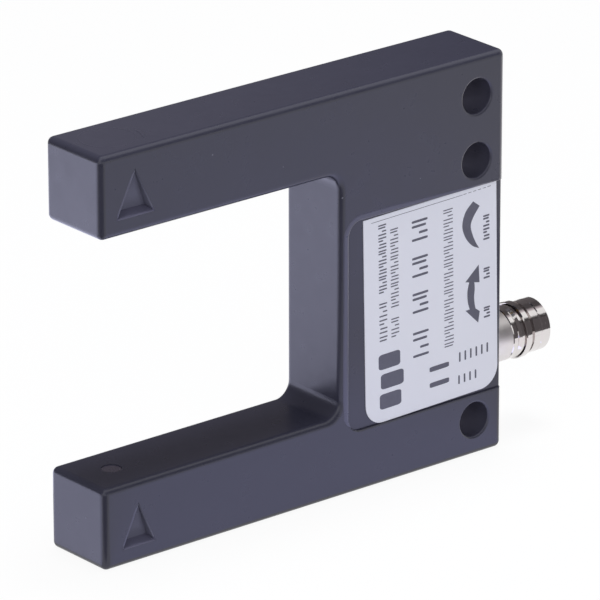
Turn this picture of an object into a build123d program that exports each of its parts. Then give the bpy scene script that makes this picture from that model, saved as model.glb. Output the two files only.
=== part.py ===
from build123d import *
import os
from math import cos, radians, sin, sqrt

# Fork light sensor: a C-shaped die-cast housing whose two arms look at each other across the
# fork opening, with a plug connector, two slotted adjusters and a status window in its rear face.
# Millimetres. X runs from the arm tips to the rear face, Y from the label face to the cover,
# and Z up. The sensor stands on the underside of its lower arm. The origin is in the middle of
# the sensor's length, connector included, and of its thickness, on the plane that it stands on.

# Fork and housing
fork_opening = 30.0
fork_depth = 35.0
arm_height = 10.0
spine_width = 25.0
thickness = 10.0
edge_radius = 0.8
root_radius = 2.0
wall = 1.6
arm_front_wall = 2.2
pad_wall = 1.2
cavity_radius = 0.7

# Back cover, in a rebate of the housing's open side
cover_thickness = 1.2
cover_ledge = 0.5
cover_gap = 0.1
cover_sink = 0.1
cover_edge = 0.15

# Fixing holes, through the housing, in one column beside the rear face
hole_diameter = 4.3
hole_lip = 0.3
hole_from_rear = 4.3
low_hole_height = 4.5
top_hole_from_top = 5.0
upper_hole_pitch = 7.9

# Label, in a shallow recess that runs out at the rear face
label_thickness = 0.1
label_turn = 1.15
label_corner = 2.6
label_from_rear = 0.73
label_margin_left = 2.72
label_margin_ends = 0.22
recess_depth = 0.4
recess_from_root = 1.15
recess_above_hole = 0.7
recess_below_hole = 0.75
recess_radius = 2.0
recess_edge_margin = 0.05

# Softened lips of the pockets in the label face
lip = 0.15
lip_angle = 40.0

# Beam marks: triangles cut ever deeper from apex to base, on the label face of both arms
beam_from_tip = 5.0
mark_foot = 2.15
mark_apex_depth = 0.15
mark_ledge_rise = 0.4
upper_mark_width = 5.2
upper_mark_height = 5.3
upper_mark_depth = 1.5
lower_mark_width = 4.6
lower_mark_height = 4.95
lower_mark_depth = 1.4

# Optics, one set in each arm, on the beam's axis
window_diameter = 2.4
window_sink = 0.12
lens_diameter = 4.0
lens_rim = 0.9
lens_bulge = 0.35
aperture_diameter = 1.8
aperture_length = 0.6
diode_diameter = 3.0
diode_clearance = 0.5
diode_flange = 0.3
diode_flange_height = 0.6
optic_board_thickness = 0.6
optic_board_side_gap = 0.3
optic_board_length = 8.0
holder_gap = 0.2
holder_radius = 0.9
plug_diameter = 6.6
plug_rim = 1.0
plug_step = 0.9
plug_edge = 0.08

# Leads from each arm to the main board, two side by side
lead_diameter = 0.8
lead_pitch = 1.2
lead_bend = 0.7
lead_reach = 3.6
lead_overlap = 1.2

# Main board and what is soldered to it
board_thickness = 0.8
board_to_cover = 0.7
board_rim = 0.6
board_end_gap = 0.2
post_diameter = 3.0
post_from_wall = 3.0
screw_diameter = 1.6
screw_head_diameter = 2.8
screw_head_height = 0.5
screw_length = 3.8
chip_size = 5.0
chip_height = 1.0
driver_width = 4.0
driver_length = 5.0
driver_height = 1.5
driver_offset = 10.0
capacitor_diameter = 3.0
capacitor_height = 2.6
capacitor_pitch = 4.2
capacitor_offset = 10.0
resistor_length = 2.0
resistor_width = 1.2
resistor_height = 0.5
resistor_pitch = 2.4
resistor_count = 5

# Adjusters and status light, in one column above the connector
adjuster_offset = 0.7
status_gap = 1.1
trimmer_size = 4.4
trimmer_length = 4.0
spindle_diameter = 3.2
spindle_sink = 0.3
spindle_flange = 0.4
spindle_flange_height = 0.38
spindle_shank_diameter = 2.0
spindle_shank_length = 2.4
spindle_edge = 0.15
slot_width = 0.5
slot_depth = 0.6
status_diameter = 2.0
status_flange = 0.5
status_flange_height = 0.9
status_led_length = 2.4

# Plug connector: a turned shell with grooves and a land, an insulator and three pins
connector_gap = 1.1
collar_length = 3.3
scribe_width = 0.2
scribe_depth = 0.1
ring_length = 0.55
neck_length = 0.7
neck_depth = 0.22
rim_length = 0.35
slit_width = 0.2
slit_depth = 0.25
land_length = 0.9
land_rise = 0.25
land_edge = 0.1
snap_groove_width = 0.5
snap_groove_depth = 0.45
sleeve_length = 2.7
sleeve_chamfer = 0.25
scribe_from_end = 1.4
shank_wall = 0.5
throat_step = 0.35
groove_wall = 0.35
shank_length = 3.2
seal_thickness = 0.6
seal_step = 0.2
nut_gap = 0.45
nut_rim = 0.45
nut_length = 1.2
nut_chamfer = 0.2
insert_floor = 4.6
insert_head = 0.8
insert_tail = 0.7
key_width = 0.8
key_height = 0.45
key_length = 3.2
pin_diameter = 1.0
pin_circle = 2.7
pin_sink = 0.8
pin_wall = 0.25
pin_count = 3
tail_diameter = 0.6
tail_bend = 0.5

# Clearances
fit_gap = 0.03
part_gap = 0.05
solder_gap = 0.1

# Places that follow from the sizes above
body_length = fork_depth + spine_width
body_height = fork_opening + 2 * arm_height
shell_throat_diameter = pin_circle + pin_diameter + 2 * pin_wall
shell_bore_diameter = shell_throat_diameter + 2 * throat_step
snap_groove_diameter = shell_bore_diameter + 2 * groove_wall
collar_diameter = snap_groove_diameter + 2 * snap_groove_depth
land_diameter = collar_diameter + 2 * land_rise
shank_diameter = shell_throat_diameter + 2 * shank_wall
seal_diameter = collar_diameter - 2 * seal_step
nut_flats = shank_diameter + 2 * nut_rim
sleeve_start = (
    collar_length + scribe_width + ring_length + neck_length + rim_length
    + slit_width + land_length + snap_groove_width
)
connector_reach = sleeve_start + sleeve_length
x_tip = -(body_length + connector_reach) / 2
x_root = x_tip + fork_depth
x_rear = x_tip + body_length
x_beam = x_tip + beam_from_tip
x_hole = x_rear - hole_from_rear
y_front = -thickness / 2
y_back = thickness / 2
y_cover = y_back - cover_sink - cover_thickness
y_board_back = y_cover - board_to_cover
y_board = y_board_back - board_thickness
y_arm_cavity = y_front + arm_front_wall
y_cavity = -nut_flats / 2 - nut_gap
front_wall = y_cavity - y_front
top_hole_height = body_height - top_hole_from_top
hole_heights = [low_hole_height, top_hole_height - upper_hole_pitch, top_hole_height]
x_recess = x_root + recess_from_root
recess_foot = low_hole_height + hole_diameter / 2 + hole_lip + recess_above_hole
recess_top = hole_heights[1] - hole_diameter / 2 - hole_lip - recess_below_hole
recess_height = recess_top - recess_foot
recess_edge = edge_radius - recess_depth - recess_edge_margin
label_width = x_rear - label_from_rear - x_recess - label_margin_left
label_height = recess_height - 2 * label_margin_ends
z_lens_seat = arm_height - wall
z_lens_pocket = z_lens_seat - lens_rim - lens_bulge - part_gap
z_optic_board = wall + solder_gap
z_diode = z_optic_board + optic_board_thickness
diode_length = z_lens_pocket - aperture_length - diode_clearance - z_diode
optic_board_width = 2 * (thickness / 2 - arm_front_wall - optic_board_side_gap)
holder_half = beam_from_tip - wall - holder_gap
plug_spigot_diameter = plug_diameter - 2 * plug_step
x_pad = x_hole - hole_diameter / 2 - pad_wall
connector_height = low_hole_height + hole_diameter / 2 + pad_wall + connector_gap + nut_flats / 2
z_nut_top = connector_height + nut_flats / 2
z_upper_pad = hole_heights[1] - hole_diameter / 2 - pad_wall
adjuster_pitch = trimmer_size / 2 + status_gap + status_diameter / 2
status_height = (z_nut_top + z_upper_pad) / 2 + adjuster_offset
mode_height = status_height - adjuster_pitch
sensitivity_height = status_height + adjuster_pitch
x_insert_tail = x_rear - shank_length - insert_tail
x_post = (x_root + wall + x_pad) / 2
post_heights = [wall + post_from_wall, body_height - wall - post_from_wall]
far = 4 * (body_length + body_height)
tiny = 0.01

parts = {}


def rectangle(x0, x1, z0, z1):
    """Rectangle in drawing coordinates, from one corner to the other."""
    return Pos((x0 + x1) / 2, (z0 + z1) / 2) * Rectangle(x1 - x0, z1 - z0)


def slab(face, y0, y1):
    """Solid from a drawing of the label face, between two places along Y."""
    return extrude(Plane.XZ.offset(-y1) * face, amount=y1 - y0)


def block(x0, x1, y0, y1, z0, z1):
    """Box from one corner to the other."""
    return Pos((x0 + x1) / 2, (y0 + y1) / 2, (z0 + z1) / 2) * Box(x1 - x0, y1 - y0, z1 - z0)


def turned(profile, height):
    """Solid of revolution about an axis along X, from (x, radius) points."""
    face = make_face(Polyline(*profile, close=True))
    return Pos(0, 0, height) * revolve(Plane.XZ * face, Axis.X)


def rod(diameter, x0, x1, height):
    """Round bar along X."""
    return turned([(x0, 0), (x1, 0), (x1, diameter / 2), (x0, diameter / 2)], height)


def upright(profile):
    """Solid of revolution about the beam's axis, from (radius, z) points or a ready face."""
    face = make_face(Polyline(*profile, close=True)) if isinstance(profile, list) else profile
    return Pos(x_beam, 0, 0) * revolve(Plane.XZ * face, Axis.Z)


def peg(diameter, x, y0, y1, z):
    """Round bar along Y."""
    return slab(Pos(x, z) * Circle(diameter / 2), y0, y1)


def to_upper_arm(shape):
    """The same piece in the upper arm: the arms are mirror images."""
    return mirror(shape, about=Plane.XY.offset(body_height / 2))


# Housing


def outline(inset):
    """C-shaped drawing of the fork, pulled in by inset, with a rounded root."""
    x_slot = x_root + inset
    face = rectangle(x_tip + inset, x_rear - inset, inset, body_height - inset)
    face -= rectangle(x_tip - far, x_slot, arm_height - inset, body_height - arm_height + inset)
    root = [v for v in face.vertices() if abs(v.X - x_slot) < tiny]
    return fillet(root, root_radius + inset)


def near_root(vertex, inset):
    """Whether a vertex of the outline is an end of a root arc."""
    reach = root_radius + inset + tiny
    by_x = abs(vertex.X - x_root) <= reach
    low = abs(vertex.Y - arm_height) <= reach
    high = abs(vertex.Y - body_height + arm_height) <= reach
    return by_x and (low or high)


def chamber(inset):
    """Drawing of the housing's inner chamber: the fork less the solid pads of the fixing holes."""
    face = outline(inset)
    pad = hole_diameter / 2 + pad_wall - wall + inset
    face -= rectangle(x_hole - pad, x_rear + pad, -far, hole_heights[0] + pad)
    face -= rectangle(x_hole - pad, x_rear + pad, hole_heights[1] - pad, far)
    corners = [v for v in face.vertices() if not near_root(v, inset)]
    return fillet(corners, cavity_radius)


def is_outer_edge(edge):
    """Every edge of the blank but the smooth seams of its root."""
    along_y = abs(edge.tangent_at(0.5).Y) > 0.99
    middle = edge.center()
    beside_root = abs(middle.X - x_root) <= root_radius + tiny
    return not (along_y and beside_root)


def blank():
    """Fork-shaped block with rounded edges all over."""
    body = slab(outline(0), y_front, y_back)
    return fillet(body.edges().filter_by(is_outer_edge), edge_radius)


def label_recess():
    """Shallow pocket of the label. It runs out at the rear face."""
    x_open = x_rear + edge_radius
    face = rectangle(x_recess, x_open, recess_foot, recess_foot + recess_height)
    corners = [v for v in face.vertices() if v.X < x_recess + tiny]
    face = fillet(corners, recess_radius)
    return slab(face, y_front - wall, y_front + recess_depth) + bevel(face)


def bevel(face):
    """Sloping lip round a pocket of the label face."""
    plane = Plane.XZ.offset(-y_front - lip)
    return extrude(plane * face, amount=2 * lip, taper=-lip_angle)


def beam_mark(foot, width, height, depth):
    """Triangular pocket, apex up. Its floor falls from the apex to a ledge that rises from the base."""
    z0 = foot + mark_foot
    z1 = z0 + height
    corners = [(x_beam - width / 2, z0), (x_beam + width / 2, z0), (x_beam, z1)]
    triangle = make_face(Polyline(*corners, close=True))
    prism = slab(triangle, y_front - wall, y_front + 2 * depth)
    side = [
        (y_front - wall, z0),
        (y_front, z0),
        (y_front + depth, z0 + mark_ledge_rise),
        (y_front + mark_apex_depth, z1),
        (y_front - wall, z1),
    ]
    floor = extrude(Plane.YZ * make_face(Polyline(*side, close=True)), amount=far, both=True)
    return (prism & floor) + bevel(triangle)


def optic_bores():
    """Lens window and plug seat of the lower arm, on the beam's axis."""
    window = window_diameter / 2 + fit_gap
    seat = plug_diameter / 2 + part_gap
    spigot = plug_spigot_diameter / 2 + part_gap
    z_under = z_lens_seat - wall
    bores = upright([(0, z_under), (window, z_under), (window, far), (0, far)])
    bores &= upright([(0, 0), (far, 0), (far, arm_height + wall), (0, arm_height + wall)])
    bores += upright([(0, -wall), (seat, -wall), (seat, plug_rim), (0, plug_rim)])
    bores += upright([(0, -wall), (spigot, -wall), (spigot, 2 * wall), (0, 2 * wall)])
    return bores


def rear_bores():
    """Holes of the rear wall: connector, adjusters and status window."""
    x_out = x_rear + wall
    x_in = x_rear - 2 * wall
    x_seat = x_rear - seal_thickness
    bores = rod(shank_diameter + 2 * part_gap, x_in, x_out, connector_height)
    bores += rod(seal_diameter + 2 * part_gap, x_seat, x_out, connector_height)
    for height in (mode_height, sensitivity_height):
        bores += rod(spindle_diameter + 2 * part_gap, x_in, x_out, height)
    bores += rod(status_diameter + 2 * fit_gap, x_in, x_out, status_height)
    return bores


def board_posts():
    """Cast posts that carry the main board, bored for its screws."""
    posts = Part()
    for height in post_heights:
        post = peg(post_diameter, x_post, y_cavity - front_wall / 2, y_board, height)
        bore = peg(screw_diameter + fit_gap, x_post, y_board - screw_length, y_board, height)
        posts += post - bore
    return posts


def make_housing():
    body = blank()
    rebate_drawing = chamber(wall - cover_ledge)
    cavity_drawing = chamber(wall)
    body -= label_recess()
    body = soften_recess(body)
    for height in hole_heights:
        body -= peg(hole_diameter, x_hole, y_front - wall, y_back + wall, height)
    body = soften_holes(body)
    body -= slab(rebate_drawing, y_cover, y_back + wall)
    body -= slab(cavity_drawing, y_arm_cavity, y_cover + part_gap)
    spine = cavity_drawing & rectangle(x_root + wall, x_rear, -far, far)
    body -= slab(spine, y_cavity, y_arm_cavity + part_gap)
    body -= optic_bores()
    body -= to_upper_arm(optic_bores())
    body -= rear_bores()
    body -= beam_mark(0, lower_mark_width, lower_mark_height, lower_mark_depth)
    z_upper = body_height - arm_height
    body -= beam_mark(z_upper, upper_mark_width, upper_mark_height, upper_mark_depth)
    return body + board_posts()


def soften_recess(body):
    """Round the edge where the recess floor runs out at the rear face."""
    y_floor = y_front + recess_depth
    x_edge = x_rear - edge_radius / 2
    level = body.edges().filter_by(lambda e: abs(e.center().Y - y_floor) < tiny)
    edges = level.filter_by(lambda e: e.center().X > x_edge and e.length > edge_radius)
    return fillet(edges, recess_edge)


def soften_holes(body):
    """Round both mouths of each fixing hole."""
    edges = [
        e
        for e in body.edges().filter_by(GeomType.CIRCLE)
        if abs(e.radius - hole_diameter / 2) < tiny and abs(e.arc_center.X - x_hole) < tiny
    ]
    return fillet(edges, hole_lip)


parts["housing"] = make_housing()


# Cover and label


def make_cover():
    """C-shaped plate that lies on the housing's ledge."""
    plate = slab(chamber(wall - cover_ledge + cover_gap), y_cover, y_cover + cover_thickness)
    rim = plate.edges().filter_by(lambda e: abs(e.center().Y - y_cover - cover_thickness) < tiny)
    return fillet(rim, cover_edge)


def make_label():
    """Thin label, a little crooked. Its lower corners are rounded."""
    face = Rectangle(label_width, label_height)
    face = fillet([v for v in face.vertices() if v.Y < 0], label_corner)
    x_middle = x_rear - label_from_rear - label_width / 2
    z_middle = recess_foot + label_margin_ends + label_height / 2
    face = Pos(x_middle, z_middle) * Rot(0, 0, label_turn) * face
    y_floor = y_front + recess_depth
    return slab(face, y_floor - label_thickness, y_floor)


parts["back_cover"] = make_cover()
parts["label"] = make_label()


# Optics, drawn in the lower arm


def make_plug():
    """Stepped plug that closes the assembly bore under the optics."""
    rim = plug_diameter / 2
    spigot = plug_spigot_diameter / 2
    chamfered = rim - plug_edge
    return upright([
        (0, 0),
        (chamfered, 0),
        (rim, plug_edge),
        (rim, plug_rim),
        (spigot, plug_rim),
        (spigot, wall),
        (0, wall),
    ])


def make_lens():
    """Lens with a bulging inner face and a neck that fills the window."""
    rim = lens_diameter / 2
    neck = window_diameter / 2
    bottom = z_lens_seat - lens_rim
    side = Polyline(
        (0, arm_height - window_sink),
        (neck, arm_height - window_sink),
        (neck, z_lens_seat),
        (rim, z_lens_seat),
        (rim, bottom),
    )
    bulge_radius = (rim**2 + lens_bulge**2) / (2 * lens_bulge)
    middle = bulge_radius - sqrt(bulge_radius**2 - (rim / 2) ** 2)
    bulge = ThreePointArc((rim, bottom), (rim / 2, bottom - lens_bulge + middle), (0, bottom - lens_bulge))
    axis_line = Line((0, bottom - lens_bulge), (0, arm_height - window_sink))
    return upright(make_face([side, bulge, axis_line]))


def make_holder():
    """Moulded block that holds lens, aperture and diode in line."""
    z_board = z_diode + part_gap
    z_flange = z_board + diode_flange_height
    z_aperture = z_lens_pocket - aperture_length
    x0 = x_beam - holder_half
    x1 = x_beam + holder_half
    corners = rectangle(x0, x1, wall + part_gap, z_lens_seat)
    corners = fillet([v for v in corners.vertices() if v.X < x_beam], holder_radius)
    body = slab(corners, y_arm_cavity + part_gap, y_cover - part_gap)
    y_half = optic_board_width / 2 + part_gap
    x_board = x_beam - optic_board_width / 2 - part_gap
    body -= block(x_board, x1 + wall, -y_half, y_half, 0, z_board)
    body -= block(x_beam, x1 + wall, -lead_pitch, lead_pitch, wall, z_board + 2 * lead_diameter)
    bore = diode_diameter / 2 + part_gap
    flange = bore + diode_flange
    pupil = aperture_diameter / 2
    pocket = lens_diameter / 2 + part_gap
    body -= upright([
        (0, z_board - wall / 2),
        (flange, z_board - wall / 2),
        (flange, z_flange),
        (bore, z_flange),
        (bore, z_aperture),
        (pupil, z_aperture),
        (pupil, z_lens_pocket),
        (pocket, z_lens_pocket),
        (pocket, arm_height),
        (0, arm_height),
    ])
    return body


def diode_profile(domed):
    """Half section of a round diode that stands on the small board. One kind has a dome."""
    z_top = z_diode + diode_length
    radius = diode_diameter / 2
    flange = radius + diode_flange
    z_flange = z_diode + diode_flange_height - part_gap
    if domed:
        z_arc = z_top - radius
        foot = [(0, z_diode), (flange, z_diode), (flange, z_flange)]
        side = Polyline(*foot, (radius, z_flange), (radius, z_arc))
        arc = ThreePointArc(
            (radius, z_arc),
            (radius * cos(radians(45)), z_arc + radius * sin(radians(45))),
            (0, z_top),
        )
        return make_face([side, arc, Line((0, z_top), (0, z_diode))])
    rim = radius - diode_flange
    return make_face(
        Polyline(
            (0, z_diode),
            (flange, z_diode),
            (flange, z_flange),
            (radius, z_flange),
            (radius, z_top),
            (rim, z_top),
            (rim, z_top - part_gap * 2),
            (0, z_top - part_gap * 2),
            close=True,
        )
    )


def make_optic_board():
    """Small board under the diode. Its tail reaches out of the holder to the leads."""
    half = optic_board_width / 2
    x0 = x_beam - half
    return block(x0, x0 + optic_board_length, -half, half, z_optic_board, z_diode)


def make_leads():
    """Two insulated leads from the small board to the main board."""
    z = z_diode + lead_diameter / 2
    x0 = x_beam - optic_board_width / 2 + optic_board_length - lead_overlap
    x_end = x_root + wall + lead_reach
    leads = Part()
    for side in (-1, 1):
        y = side * lead_pitch / 2
        x1 = x_end - side * lead_pitch
        path = FilletPolyline((x0, y, z), (x1, y, z), (x1, y_board, z), radius=lead_bend)
        section = Plane(origin=(x0, y, z), z_dir=(1, 0, 0)) * Circle(lead_diameter / 2)
        leads += sweep(section, path=path)
    return leads


parts["receiver_plug"] = make_plug()
parts["emitter_plug"] = to_upper_arm(make_plug())
parts["receiver_lens"] = make_lens()
parts["emitter_lens"] = to_upper_arm(make_lens())
parts["receiver_holder"] = make_holder()
parts["emitter_holder"] = to_upper_arm(make_holder())
parts["receiver_photodiode"] = upright(diode_profile(False))
parts["emitter_led"] = to_upper_arm(upright(diode_profile(True)))
parts["receiver_board"] = make_optic_board()
parts["emitter_board"] = to_upper_arm(make_optic_board())
parts["receiver_leads"] = make_leads()
parts["emitter_leads"] = to_upper_arm(make_leads())


# Main board


def pin_places():
    """Y and Z of each contact pin about the connector's axis, the first one towards the board."""
    places = []
    for number in range(pin_count):
        angle = radians(360 / pin_count * number)
        places.append((pin_circle / 2 * cos(angle), connector_height + pin_circle / 2 * sin(angle)))
    return places


def tail_x(y):
    """Where a pin's tail turns to the board: the nearer to the board, the further in."""
    return x_insert_tail - tail_diameter - tail_bend - (pin_diameter if y > 0 else 0)


def make_main_board():
    """Board of the spine, with a tongue between the fixing pads."""
    x0 = x_root + wall + board_rim
    x1 = x_pad - board_rim
    x2 = x_insert_tail - board_end_gap
    z0 = hole_heights[0] + hole_diameter / 2 + pad_wall + board_rim
    z1 = hole_heights[1] - hole_diameter / 2 - pad_wall - board_rim
    face = rectangle(x0, x1, wall + board_rim, body_height - wall - board_rim)
    face += rectangle(x1 - board_rim, x2, z0, z1)
    board = slab(face, y_board, y_board_back)
    for height in post_heights:
        board -= peg(screw_diameter + 2 * fit_gap, x_post, y_board - wall, y_back, height)
    for y, z in pin_places():
        board -= peg(tail_diameter + 2 * solder_gap, tail_x(y), y_board - wall, y_back, z)
    return board


def make_screws():
    """Two pan-head screws that hold the board to its posts."""
    screws = Part()
    for height in post_heights:
        head = peg(screw_head_diameter, x_post, y_board_back, y_board_back + screw_head_height, height)
        y_tip = y_board_back - screw_length
        screws += head + peg(screw_diameter, x_post, y_tip, y_board_back, height)
    return screws


def on_board(x, z, x_size, z_size, height):
    """Block that stands on the board's front."""
    return block(x - x_size / 2, x + x_size / 2, y_board - height, y_board, z - z_size / 2, z + z_size / 2)


x_board_middle = x_post
z_board_middle = body_height / 2

parts["main_board"] = make_main_board()
parts["board_screws"] = make_screws()
parts["controller_chip"] = on_board(x_board_middle, z_board_middle, chip_size, chip_size, chip_height)
parts["output_driver"] = on_board(
    x_board_middle, z_board_middle - driver_offset, driver_width, driver_length, driver_height
)


def make_capacitors():
    """Two round capacitors above the chip."""
    capacitors = Part()
    for side in (-1, 1):
        x = x_board_middle + side * capacitor_pitch / 2
        z = z_board_middle + capacitor_offset
        capacitors += peg(capacitor_diameter, x, y_board - capacitor_height, y_board, z)
    return capacitors


def make_resistors():
    """Column of small resistors between the board's end and the chip."""
    resistors = Part()
    x_end = x_root + wall + board_rim
    x = (x_end + x_board_middle - chip_size / 2) / 2
    for number in range(resistor_count):
        z = z_board_middle + (number - (resistor_count - 1) / 2) * resistor_pitch
        resistors += on_board(x, z, resistor_length, resistor_width, resistor_height)
    return resistors


parts["board_capacitors"] = make_capacitors()
parts["board_resistors"] = make_resistors()


# Adjusters and status light

x_wall_in = x_rear - wall
x_trimmer = x_wall_in - spindle_flange_height - 2 * part_gap


def make_trimmer(height):
    """Body of a trimmer, bored for its spindle, standing on the board."""
    half = trimmer_size / 2
    body = block(x_trimmer - trimmer_length, x_trimmer, -half, y_board, height - half, height + half)
    x_bore = x_trimmer - spindle_shank_length - part_gap
    return body - rod(spindle_shank_diameter + 2 * part_gap, x_bore, x_trimmer + wall, height)


def make_spindle(height):
    """Slotted spindle: a head in the rear wall, a flange behind it and a shank in the trimmer."""
    head = spindle_diameter / 2
    flange = head + spindle_flange
    shank = spindle_shank_diameter / 2
    x_face = x_rear - spindle_sink
    x_flange = x_wall_in - part_gap
    x_back = x_flange - spindle_flange_height
    body = turned([
        (x_trimmer - spindle_shank_length, 0),
        (x_trimmer - spindle_shank_length, shank),
        (x_back, shank),
        (x_back, flange),
        (x_flange, flange),
        (x_flange, head),
        (x_face - spindle_edge, head),
        (x_face, head - spindle_edge),
        (x_face, 0),
    ], height)
    z0 = height - slot_width / 2
    z1 = height + slot_width / 2
    return body - block(x_face - slot_depth, x_face + wall, -head - wall, head + wall, z0, z1)


def make_status_led():
    """Round indicator on a foot that stands on the board."""
    radius = status_diameter / 2
    x_dome = x_wall_in - status_flange_height - part_gap
    x_foot = x_dome - status_led_length
    foot = block(x_foot - radius, x_foot, -radius, y_board, status_height - radius, status_height + radius)
    side = Polyline((x_foot, 0), (x_foot, radius), (x_dome - radius, radius))
    arc = ThreePointArc(
        (x_dome - radius, radius),
        (x_dome - radius + radius * sin(radians(45)), radius * cos(radians(45))),
        (x_dome, 0),
    )
    face = make_face([side, arc, Line((x_dome, 0), (x_foot, 0))])
    return foot + Pos(0, 0, status_height) * revolve(Plane.XZ * face, Axis.X)


def make_status_window():
    """Clear light guide with a flange behind the rear wall."""
    radius = status_diameter / 2
    flange = radius + status_flange
    x_flange = x_wall_in - status_flange_height
    return turned([
        (x_flange, 0),
        (x_flange, flange),
        (x_wall_in, flange),
        (x_wall_in, radius),
        (x_rear - part_gap, radius),
        (x_rear - part_gap, 0),
    ], status_height)


parts["mode_trimmer"] = make_trimmer(mode_height)
parts["mode_spindle"] = make_spindle(mode_height)
parts["sensitivity_trimmer"] = make_trimmer(sensitivity_height)
parts["sensitivity_spindle"] = make_spindle(sensitivity_height)
parts["status_led"] = make_status_led()
parts["status_window"] = make_status_window()


# Connector

x_shank = x_rear - shank_length
x_mouth = x_rear + connector_reach
x_floor = x_rear + insert_floor


def scribed(x, radius):
    """Points of a fine V-shaped line that starts at x."""
    return [(x, radius), (x + scribe_width / 2, radius - scribe_depth), (x + scribe_width, radius)]


def make_shell():
    """Turned shell: shank, collar, neck, land, snap groove and sleeve, bored from the mouth."""
    shank = shank_diameter / 2
    collar = collar_diameter / 2
    land = land_diameter / 2
    groove = snap_groove_diameter / 2
    bore = shell_bore_diameter / 2
    throat = shell_throat_diameter / 2
    x_neck = x_rear + collar_length + scribe_width + ring_length
    x_slit = x_neck + neck_length + rim_length
    x_land = x_slit + slit_width
    x_groove = x_land + land_length
    x_sleeve = x_rear + sleeve_start
    return turned([
        (x_shank, throat),
        (x_shank, shank),
        (x_rear, shank),
        (x_rear, collar),
        *scribed(x_rear + collar_length, collar),
        (x_neck, collar),
        (x_neck + neck_length / 2, collar - neck_depth),
        (x_neck + neck_length, collar),
        (x_slit, collar),
        (x_slit, collar - slit_depth),
        (x_land, collar - slit_depth),
        (x_land, land - land_edge),
        (x_land + land_edge, land),
        (x_groove - land_edge, land),
        (x_groove, land - land_edge),
        (x_groove, groove),
        (x_sleeve, groove),
        (x_sleeve, collar),
        *scribed(x_mouth - scribe_from_end - scribe_width, collar),
        (x_mouth - sleeve_chamfer, collar),
        (x_mouth, collar - sleeve_chamfer),
        (x_mouth, bore),
        (x_floor - insert_head, bore),
        (x_floor - insert_head, throat),
    ], connector_height)


def make_seal():
    """Flat ring in a counterbore, under the collar's shoulder."""
    inner = shank_diameter / 2 + fit_gap
    outer = seal_diameter / 2
    x0 = x_rear - seal_thickness
    return turned([(x0, inner), (x0, outer), (x_rear, outer), (x_rear, inner)], connector_height)


def make_nut():
    """Hexagon nut that draws the shell against the rear wall. Two flats face the front and back."""
    x0 = x_wall_in - nut_length
    corner = nut_flats / 2 / cos(radians(30))
    hexagon = Rot(0, 0, 90) * RegularPolygon(nut_flats / 2, 6, major_radius=False)
    body = Pos(0, 0, connector_height) * extrude(Plane.YZ.offset(x0) * hexagon, amount=nut_length)
    body &= turned([
        (x0, 0),
        (x0, corner - nut_chamfer),
        (x0 + nut_chamfer, corner),
        (x_wall_in, corner),
        (x_wall_in, 0),
    ], connector_height)
    return body - rod(shank_diameter + 2 * fit_gap, x0 - wall, x_wall_in + wall, connector_height)


def make_insert():
    """Insulator with a head in the shell's bore, a stem in its throat and a coding key."""
    head = shell_bore_diameter / 2 - fit_gap
    stem = shell_throat_diameter / 2 - fit_gap
    x_step = x_floor - insert_head
    body = turned([
        (x_insert_tail, 0),
        (x_insert_tail, stem),
        (x_step, stem),
        (x_step, head),
        (x_floor, head),
        (x_floor, 0),
    ], connector_height)
    z_key = connector_height - head
    key = block(x_step, x_floor + key_length, -key_width / 2, key_width / 2, z_key, z_key + key_height)
    body += key & rod(2 * head, x_step, x_floor + key_length, connector_height)
    for y, z in pin_places():
        body -= Pos(0, y, 0) * rod(pin_diameter + 2 * fit_gap, x_insert_tail - wall, x_floor + wall, z)
    return body


def make_pins():
    """Round contacts with a rounded tip and a tail bent into the board."""
    x_point = x_mouth - pin_sink
    radius = pin_diameter / 2
    pins = Part()
    for y, z in pin_places():
        straight = turned([
            (x_insert_tail, 0),
            (x_insert_tail, radius),
            (x_point - radius / 2, radius),
            (x_point, radius / 2),
            (x_point, 0),
        ], z)
        x_turn = tail_x(y)
        start = (x_insert_tail + tail_diameter, y, z)
        end = (x_turn, y_board_back + solder_gap, z)
        path = FilletPolyline(start, (x_turn, y, z), end, radius=tail_bend)
        section = Plane(origin=start, z_dir=(-1, 0, 0)) * Circle(tail_diameter / 2)
        pins += Pos(0, y, 0) * straight + sweep(section, path=path)
    return pins


parts["connector_shell"] = make_shell()
parts["connector_seal"] = make_seal()
parts["connector_nut"] = make_nut()
parts["connector_insert"] = make_insert()
parts["contact_pins"] = make_pins()


os.makedirs("parts", exist_ok=True)
for name, shape in parts.items():
    export_step(shape, f"parts/{name}.step")
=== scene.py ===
import math

import bmesh
import bpy
from mathutils import Matrix, Vector


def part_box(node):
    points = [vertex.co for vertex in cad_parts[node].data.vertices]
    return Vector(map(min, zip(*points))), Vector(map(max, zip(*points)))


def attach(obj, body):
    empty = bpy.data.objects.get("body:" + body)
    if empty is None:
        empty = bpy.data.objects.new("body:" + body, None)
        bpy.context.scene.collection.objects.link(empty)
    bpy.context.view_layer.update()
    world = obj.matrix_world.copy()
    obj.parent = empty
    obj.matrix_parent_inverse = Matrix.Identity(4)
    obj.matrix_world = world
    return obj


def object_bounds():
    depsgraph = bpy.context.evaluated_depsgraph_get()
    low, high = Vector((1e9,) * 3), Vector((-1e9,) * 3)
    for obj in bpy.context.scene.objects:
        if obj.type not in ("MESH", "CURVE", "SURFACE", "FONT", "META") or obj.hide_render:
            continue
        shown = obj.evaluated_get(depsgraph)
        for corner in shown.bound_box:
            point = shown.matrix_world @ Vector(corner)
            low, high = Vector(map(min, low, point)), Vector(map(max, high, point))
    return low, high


bl_info = {
    "name": "Fork light sensor",
    "version": (1, 0, 0),
    "blender": (4, 5, 0),
    "location": "View3D > Sidebar > Fork sensor",
    "description": "Dresses the fork light sensor: coat, label, optics, electronics, plug and studio",
    "category": "Object",
}

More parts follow.
